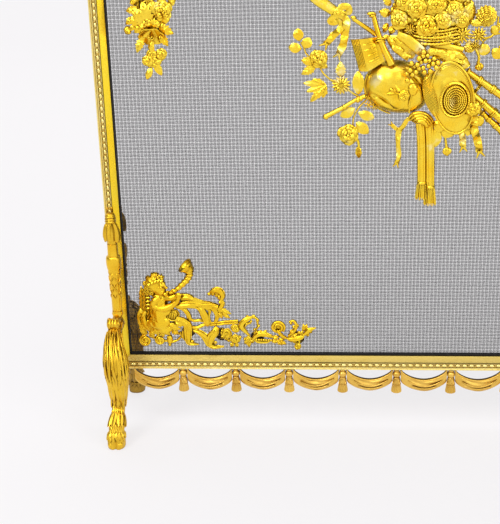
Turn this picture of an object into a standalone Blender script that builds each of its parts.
"""Gilt bronze fireplace screen: a mitred frame with a woven wire panel, four animal legs under quivers,
a hanging valance of swags and tassels, four corner mounts, a central trophy, a crest and two finials.

The origin is on the floor under the middle of the screen: +X to the viewer's right, +Y away from the
viewer, +Z up. Dimensions are named in millimetres and turned into metres when a mesh is made.
"""

import math

import bmesh
import bpy
from mathutils import Vector

MM = 0.001
GAP = 0.3

# Frame: the opening's edge is u = 0, and u grows outwards across the moulding.
OPENING_HALF = 330.0
OPENING_LOW = 80.0
OPENING_HIGH = 700.0
MOULDING = 15.0
FRAME_HALF_DEPTH = 9.0
REBATE = 8.0
LIP_BACK = -1.8
MITRE_GAP = 0.22

# Wire panel and the black steel channel that binds its edge.
PANEL_FRONT = -0.3
PANEL_BACK = 0.7
PANEL_TUCK = 5.2
HEM_INSIDE = 1.6

# Legs and quivers stand on the stiles' centre lines, mirrored left to right and front to back.
LEG_X = 338.5
LEG_SIDES = 12
SHAFT_X = 337.0
SHAFT_Y = 18.3
QUIVER_SIDES = 14
SCROLL_OUT = 32.5
SCROLL_Z = 131.0
SCROLL_RADIUS = 7.0
QUIVER_LOW = 135.0
QUIVER_HIGH = 219.3
SHEAF_HIGH = 253.4
STUD_Z = 194.0

# Valance under the bottom rail.
SWAGS = 11
SWAG_PITCH = 60.0
VALANCE_TOP = OPENING_LOW - MOULDING - GAP
VALANCE_Y = -5.0
TASSEL_HALF_GAP = 5.1
SWAG_HALF_HEIGHT = 6.6
SWAG_DROP = 12.2

# Ornaments lie on the wire panel.
ORNAMENT_BACK = PANEL_FRONT - GAP
TROPHY_X = -3.0
FINIAL_HIGH = 771.0

COLOURS = {
    "gilt": ((0.83, 0.60, 0.12), 0.30, 1.0),
    "black_steel": ((0.03, 0.03, 0.03), 0.45, 0.8),
    "wire": ((0.35, 0.34, 0.35), 0.45, 0.9),
}


def material(name):
    colour, roughness, metallic = COLOURS[name]
    made = bpy.data.materials.new(name)
    made.use_nodes = True
    shader = made.node_tree.nodes["Principled BSDF"]
    shader.inputs["Base Color"].default_value = (*colour, 1.0)
    shader.inputs["Roughness"].default_value = roughness
    shader.inputs["Metallic"].default_value = metallic
    return made


def add_object(name, mesh_builder, finish="gilt", smooth=40.0):
    """Turns a bmesh in millimetres into a named object in metres, with its faces pointing out."""
    bmesh.ops.recalc_face_normals(mesh_builder, faces=mesh_builder.faces)
    bmesh.ops.scale(mesh_builder, vec=(MM, MM, MM), verts=mesh_builder.verts)
    mesh = bpy.data.meshes.new(name)
    mesh_builder.to_mesh(mesh)
    mesh_builder.free()
    mesh.shade_smooth()
    mesh.set_sharp_from_angle(angle=math.radians(smooth))
    mesh.materials.append(material(finish))
    made = bpy.data.objects.new(name, mesh)
    bpy.context.scene.collection.objects.link(made)
    return made


def bridge(rings):
    """A closed body from rings of points, each the same length, with a flat cap at each end."""
    builder = bmesh.new()
    rows = [[builder.verts.new(point) for point in ring] for ring in rings]
    for low, high in zip(rows, rows[1:]):
        for i in range(len(low)):
            j = (i + 1) % len(low)
            builder.faces.new((low[i], low[j], high[j], high[i]))
    builder.faces.new(reversed(rows[0]))
    builder.faces.new(rows[-1])
    return builder


def joined(name, builders, finish="gilt"):
    """One body from several overlapping ones, by Boolean union."""
    first = add_object(name, builders[0], finish)
    for i, builder in enumerate(builders[1:]):
        other = add_object(f"{name}_tool_{i}", builder, finish)
        modifier = first.modifiers.new("union", "BOOLEAN")
        modifier.operation = "UNION"
        modifier.solver = "EXACT"
        modifier.object = other
        bpy.context.view_layer.update()
        evaluated = first.evaluated_get(bpy.context.evaluated_depsgraph_get())
        result = bpy.data.meshes.new_from_object(evaluated)
        first.modifiers.clear()
        first.data = result
        bpy.data.objects.remove(other, do_unlink=True)
    return first


def ring(centre, across, upward, half_width, half_height, sides, square=1.0):
    """A rounded section: square = 1 is an ellipse, smaller values fill its corners."""
    points = []
    for i in range(sides):
        angle = 2.0 * math.pi * (i + 0.5) / sides
        c, s = math.cos(angle), math.sin(angle)
        a = math.copysign(abs(c) ** square, c) * half_width
        b = math.copysign(abs(s) ** square, s) * half_height
        points.append(Vector(centre) + Vector(across) * a + Vector(upward) * b)
    return points


def lathe(profile, x, y, sides):
    """A turned body on a vertical axis; profile holds (radius, z) from the bottom up."""
    return bridge([ring((x, y, z), (1, 0, 0), (0, 1, 0), r, r, sides) for r, z in profile])


def frame_bar(name, section, side, finish="gilt"):
    """One mitred bar of the rectangular frame; section holds (u, y) round the bar's profile."""
    ends = []
    for end in (-1, 1):
        points = []
        for u, y in section:
            along = OPENING_HALF + u - MITRE_GAP
            low = OPENING_LOW - u + MITRE_GAP
            high = OPENING_HIGH + u - MITRE_GAP
            if side in ("bottom", "top"):
                z = OPENING_LOW - u if side == "bottom" else OPENING_HIGH + u
                points.append((end * along, y, z))
            else:
                x = (OPENING_HALF + u) * (-1 if side == "left" else 1)
                points.append((x, y, low if end < 0 else high))
        ends.append(points)
    return add_object(name, bridge(ends), finish, smooth=30.0)


def build_frame():
    depth = FRAME_HALF_DEPTH
    moulding = [
        (0.0, LIP_BACK),
        (0.0, -3.6),
        (4.6, -8.0),
        (5.6, -depth),
        (14.0, -depth),
        (MOULDING, -8.0),
        (MOULDING, depth),
        (REBATE, depth),
        (REBATE, LIP_BACK),
    ]
    inner = -HEM_INSIDE
    outer = REBATE - GAP
    front = LIP_BACK + GAP
    back = 3.5
    slot_end = PANEL_TUCK + GAP
    channel = [
        (inner, front),
        (outer, front),
        (outer, back),
        (inner, back),
        (inner, PANEL_BACK + GAP),
        (slot_end, PANEL_BACK + GAP),
        (slot_end, PANEL_FRONT - GAP),
        (inner, PANEL_FRONT - GAP),
    ]
    names = {"bottom": "bottom_rail", "top": "top_rail", "left": "left_stile", "right": "right_stile"}
    for side, name in names.items():
        frame_bar(name, moulding, side)
        frame_bar(f"mesh_channel_{side}", channel, side, "black_steel")


def build_panel():
    x = OPENING_HALF + PANEL_TUCK
    low = OPENING_LOW - PANEL_TUCK
    high = OPENING_HIGH + PANEL_TUCK
    rings = [[(-x, y, low), (x, y, low), (x, y, high), (-x, y, high)] for y in (PANEL_FRONT, PANEL_BACK)]
    add_object("wire_panel", bridge(rings), "wire")


def build_leg(name, side, front):
    """An animal leg: hoof, fetlock, thin pastern, leafy knee and a scroll in front of the quiver's foot."""
    # Distance out from the panel, height, half width, half thickness, lean towards the screen's middle.
    stations = (
        (67.0, 0.0, 9.8, 10.8, 0.0),
        (67.0, 8.0, 9.8, 10.8, 0.0),
        (65.5, 16.0, 9.2, 9.8, 0.2),
        (60.5, 24.0, 9.0, 9.8, 0.5),
        (53.0, 33.0, 7.4, 7.8, 1.2),
        (48.0, 46.0, 7.0, 7.4, 2.2),
        (49.5, 61.0, 8.6, 9.2, 3.0),
        (54.0, 77.0, 11.2, 12.2, 3.6),
        (56.0, 91.0, 12.6, 13.8, 3.6),
        (52.0, 104.0, 11.6, 13.2, 2.6),
        (43.0, 115.0, 9.4, 11.4, 0.6),
        (31.0, 121.5, 7.6, 9.6, -0.6),
        (20.0, 123.0, 7.2, 9.2, -0.6),
        (FRAME_HALF_DEPTH + GAP, 123.0, 7.0, 9.2, -0.6),
    )
    rings = []
    for i, (out, height, half_width, half_thick, lean) in enumerate(stations):
        before = stations[max(i - 1, 0)]
        after = stations[min(i + 1, len(stations) - 1)]
        rise = Vector((before[0] - after[0], after[1] - before[1])).normalized()
        # rise holds the route's direction, inwards and up; the section lies square to it.
        thick = (0.0, -front * rise.y, rise.x)
        centre = (side * (LEG_X - lean), -front * out, height)
        rings.append(ring(centre, (1, 0, 0), thick, half_width, half_thick, LEG_SIDES, 0.85))
    scroll = []
    for x, r in ((-6.0, 5.6), (-5.2, SCROLL_RADIUS), (5.2, SCROLL_RADIUS), (6.0, 5.6)):
        centre = (side * (LEG_X + 0.8) + x, -front * SCROLL_OUT, SCROLL_Z)
        scroll.append(ring(centre, (0, 1, 0), (0, 0, 1), r, r, LEG_SIDES))
    joined(name, [bridge(rings), bridge(scroll)])


def build_quiver(name, side, front):
    x = side * SHAFT_X
    y = -front * SHAFT_Y
    body = (
        (5.4, QUIVER_LOW),
        (6.4, QUIVER_LOW + 3.0),
        (6.0, 145.0),
        (6.6, 182.0),
        (7.6, 185.0),
        (7.0, 188.5),
        (8.4, 200.5),
        (8.0, 204.5),
        (6.0, 206.5),
        (6.0, QUIVER_HIGH),
    )
    stud = []
    for distance in (SHAFT_Y - 2.0, FRAME_HALF_DEPTH + GAP):
        stud.append(ring((x, -front * distance, STUD_Z), (1, 0, 0), (0, 0, 1), 3.0, 3.0, 8))
    joined(name, [lathe(body, x, y, QUIVER_SIDES), bridge(stud)])


def build_sheaf(name, side, front):
    """The arrows' flights above a quiver, under a ringed cap."""
    low = QUIVER_HIGH + GAP
    centre_y = -front * SHAFT_Y
    rings = []
    for z, half_width, half_depth in (
        (low, 5.6, 5.2),
        (223.0, 8.2, 6.2),
        (230.0, 9.5, 7.0),
        (239.0, 9.2, 7.0),
        (243.5, 6.4, 5.6),
        (245.5, 6.4, 6.0),
        (SHEAF_HIGH, 5.6, 5.4),
    ):
        rings.append(ring((side * SHAFT_X, centre_y, z), (1, 0, 0), (0, 1, 0), half_width, half_depth, 12, 0.8))
    add_object(name, bridge(rings))


def build_supports():
    for side, left_right in ((-1, "left"), (1, "right")):
        for front, row in ((1, "front"), (-1, "rear")):
            build_leg(f"{row}_{left_right}_leg", side, front)
            build_quiver(f"{row}_{left_right}_quiver", side, front)
            build_sheaf(f"{row}_{left_right}_arrow_sheaf", side, front)


def build_swag(name, start):
    """A fold of drapery that hangs from the rail between two tassels."""
    stations = 11
    left = start + TASSEL_HALF_GAP
    right = start + SWAG_PITCH - TASSEL_HALF_GAP
    rings = []
    for i in range(stations):
        t = i / (stations - 1)
        bow = math.sin(math.pi * t)
        x = left + (right - left) * t
        z = VALANCE_TOP - SWAG_HALF_HEIGHT - 0.2 - SWAG_DROP * bow**0.65
        rings.append(ring((x, VALANCE_Y, z), (0, 1, 0), (0, 0, 1), 1.6 + 1.6 * bow, SWAG_HALF_HEIGHT, 8, 0.8))
    add_object(name, bridge(rings))


def build_tassel(name, x):
    profile = (
        (5.8, 37.5),
        (5.4, 42.0),
        (4.0, 52.0),
        (3.2, 54.0),
        (4.5, 56.5),
        (4.5, 61.0),
        (3.2, VALANCE_TOP),
    )
    add_object(name, lathe(profile, x, VALANCE_Y, 10))


def build_valance():
    first = -SWAGS * SWAG_PITCH / 2
    for i in range(SWAGS):
        build_swag(f"swag_{i + 1:02d}", first + SWAG_PITCH * i)
    for i in range(1, SWAGS):
        build_tassel(f"tassel_{i:02d}", first + SWAG_PITCH * i)


def relief(outline, centre, depth, side=1, shrink=0.8, base=0.35):
    """A raised ornament: an outline seen whole from its centre, upright at its foot and domed in front."""
    cx, cz = centre
    layers = ((ORNAMENT_BACK, 1.0), (ORNAMENT_BACK - depth * base, 1.0), (ORNAMENT_BACK - depth, shrink))
    rings = []
    for y, scale in layers:
        rings.append([(side * (cx + (x - cx) * scale), y, cz + (z - cz) * scale) for x, z in outline])
    return bridge(rings)


def oval(centre, half_width, half_height, tilt=0.0, sides=20):
    angle = math.radians(tilt)
    points = []
    for i in range(sides):
        turn = 2.0 * math.pi * i / sides
        a = math.cos(turn) * half_width
        b = math.sin(turn) * half_height
        x = centre[0] + a * math.cos(angle) - b * math.sin(angle)
        points.append((x, centre[1] + a * math.sin(angle) + b * math.cos(angle)))
    return points


def band(points, widths, depth):
    """A flat strip along a route of (x, z) points on the panel."""
    rings = []
    for i, (x, z) in enumerate(points):
        before = points[max(i - 1, 0)]
        after = points[min(i + 1, len(points) - 1)]
        along = Vector((after[0] - before[0], after[1] - before[1])).normalized()
        half = widths[i] / 2
        corners = []
        for edge, y in ((-half, ORNAMENT_BACK), (half, ORNAMENT_BACK), (half, ORNAMENT_BACK - depth),
                        (-half, ORNAMENT_BACK - depth)):
            corners.append((x - along.y * edge, y, z + along.x * edge))
        rings.append(corners)
    return bridge(rings)


def build_lower_mount(name, side):
    """A winged figure blowing a horn, whose body ends in scrolling foliage along the rail."""
    outline = (
        (-313, 89), (-319, 114), (-318, 147), (-312, 173), (-293, 184), (-278, 174), (-267, 170),
        (-263, 188), (-253, 196), (-244, 190), (-250, 170), (-255, 154), (-237, 150), (-234, 164),
        (-221, 160), (-217, 139), (-201, 131), (-183, 125), (-161, 129), (-137, 128), (-117, 120),
        (-121, 105), (-141, 94), (-181, 87), (-231, 86), (-276, 86),
    )
    add_object(name, relief(outline, (-262, 116), 15.0, -side, 0.86))


def build_upper_mount(name, side):
    """A hanging garland of flowers that fills an upper corner."""
    outline = (
        (-322, 692), (-323, 610), (-320, 520), (-315, 450), (-302, 430), (-294, 394), (-285, 392),
        (-274, 397), (-266, 420), (-259, 450), (-262, 510), (-262, 570), (-252, 620), (-225, 650),
        (-196, 662), (-180, 678), (-190, 692), (-250, 694),
    )
    add_object(name, relief(outline, (-290, 610), 13.0, -side, 0.88))


def build_ribbon():
    """The ribbon that the trophy hangs from: a bow at the top, a loop down each side, knots and tails."""
    middle = TROPHY_X
    loops = []
    for side, knot in ((-1, (-100, 460)), (1, (106, 486))):
        route = (
            (middle + side * 6, 568),
            (middle + side * 40, 558),
            (middle + side * 80, 538),
            (middle + side * 112, 510),
            (middle + side * 122, 486),
            knot,
        )
        loops.append(band(route, (8, 9, 10, 10, 9, 8), 5.0))
    left_tail = band(((-99, 457), (-105, 441), (-109, 425)), (6, 8, 9), 5.2)
    right_tail = band(((-97, 457), (-94, 435), (-96, 416)), (6, 8, 8), 5.4)
    hanger = band(((middle, 570), (middle, 532), (middle, 498)), (7, 6, 7), 6.0)
    bow = relief(oval((middle, 572), 34, 15), (middle, 572), 10.0)
    knot = relief(oval((-98, 457), 11, 9), (-98, 457), 9.0)
    end_knot = relief(oval((106, 486), 9, 8), (106, 486), 8.0)
    joined("trophy_ribbon", [bow, hanger, *loops, knot, left_tail, right_tail, end_knot])


def build_trophy():
    build_ribbon()
    left_spray = (
        (-142, 417), (-142, 441), (-125, 441), (-118, 421), (-103, 409), (-85, 404), (-76, 392), (-73, 384),
        (-72, 364), (-66, 348), (-64, 336), (-69, 306), (-78, 302), (-94, 319), (-97, 342), (-113, 347),
        (-111, 360), (-132, 362), (-135, 395),
    )
    add_object("trophy_left_spray", relief(left_spray, (-97, 374), 9.0))
    right_spray = (
        (51, 414), (52, 464), (69, 475), (93, 474), (119, 456), (125, 424), (111, 400), (85, 386), (59, 398),
    )
    add_object("trophy_right_spray", relief(right_spray, (85, 430), 10.0))
    book = ((-82, 430), (-57, 435), (-49, 410), (-71, 397))
    add_object("trophy_score_book", relief(book, (-64, 418), 9.0, shrink=0.9))
    # Name, centre, half width, half height, tilt, depth.
    ovals = (
        ("trophy_flower_basket", (2, 463), 46, 32, 0, 25.0),
        ("trophy_bagpipe_pouch", (-38, 380), 30, 26, 0, 21.0),
        ("trophy_straw_hat", (19, 372), 22, 36, 17, 22.0),
        ("trophy_shell", (-30, 424), 17, 9, -10, 15.0),
        ("trophy_grapes", (1, 419), 13, 9, 0, 16.0),
    )
    for name, centre, half_width, half_height, tilt, depth in ovals:
        add_object(name, relief(oval(centre, half_width, half_height, tilt), centre, depth, 1, 0.6, 0.5))
    tassels = ((-16, 258), (5, 258), (4, 312), (2, 345), (-14, 345), (-15, 312))
    add_object("trophy_tassels", relief(tassels, (-6, 300), 13.0))
    upper = band(((46, 388), (71, 369), (104, 346)), (7, 7, 10), 8.0)
    lower = band(((49, 368), (71, 352), (95, 335)), (7, 7, 9), 8.0)
    strap = band(((56, 385), (60, 367), (61, 355)), (4, 5, 4), 9.0)
    joined("trophy_pipes", [upper, lower, strap])


def build_crest():
    """A ribbon bow over laurel branches, standing on the top rail."""
    half_depth = 5.0
    foot = OPENING_HIGH + MOULDING + GAP
    outline = []
    for x, z in (
        (-84, foot), (84, foot), (92, foot + 8), (70, foot + 22), (44, foot + 30), (40, foot + 52),
        (22, foot + 58), (8, foot + 44), (0, foot + 50), (-8, foot + 44), (-22, foot + 58), (-40, foot + 52),
        (-44, foot + 30), (-70, foot + 22), (-92, foot + 8),
    ):
        outline.append((x, z))
    rings = [[(x, y, z) for x, z in outline] for y in (-half_depth, half_depth)]
    add_object("crest", bridge(rings))


def build_finials():
    foot = OPENING_HIGH + MOULDING + GAP
    profile = (
        (7.0, foot),
        (8.4, foot + 3.0),
        (4.6, foot + 8.0),
        (4.2, foot + 13.0),
        (8.6, foot + 20.0),
        (9.4, foot + 28.0),
        (7.0, foot + 40.0),
        (3.4, foot + 50.0),
        (1.4, FINIAL_HIGH),
    )
    centre = OPENING_HALF + MOULDING / 2
    add_object("left_finial", lathe(profile, -centre, 0.0, 16))
    add_object("right_finial", lathe(profile, centre, 0.0, 16))


def main():
    for old in list(bpy.data.objects):
        bpy.data.objects.remove(old, do_unlink=True)
    build_frame()
    build_panel()
    build_supports()
    build_valance()
    for side, left_right in ((-1, "left"), (1, "right")):
        build_lower_mount(f"lower_{left_right}_mount", side)
        build_upper_mount(f"upper_{left_right}_mount", side)
    build_trophy()
    build_crest()
    build_finials()


main()
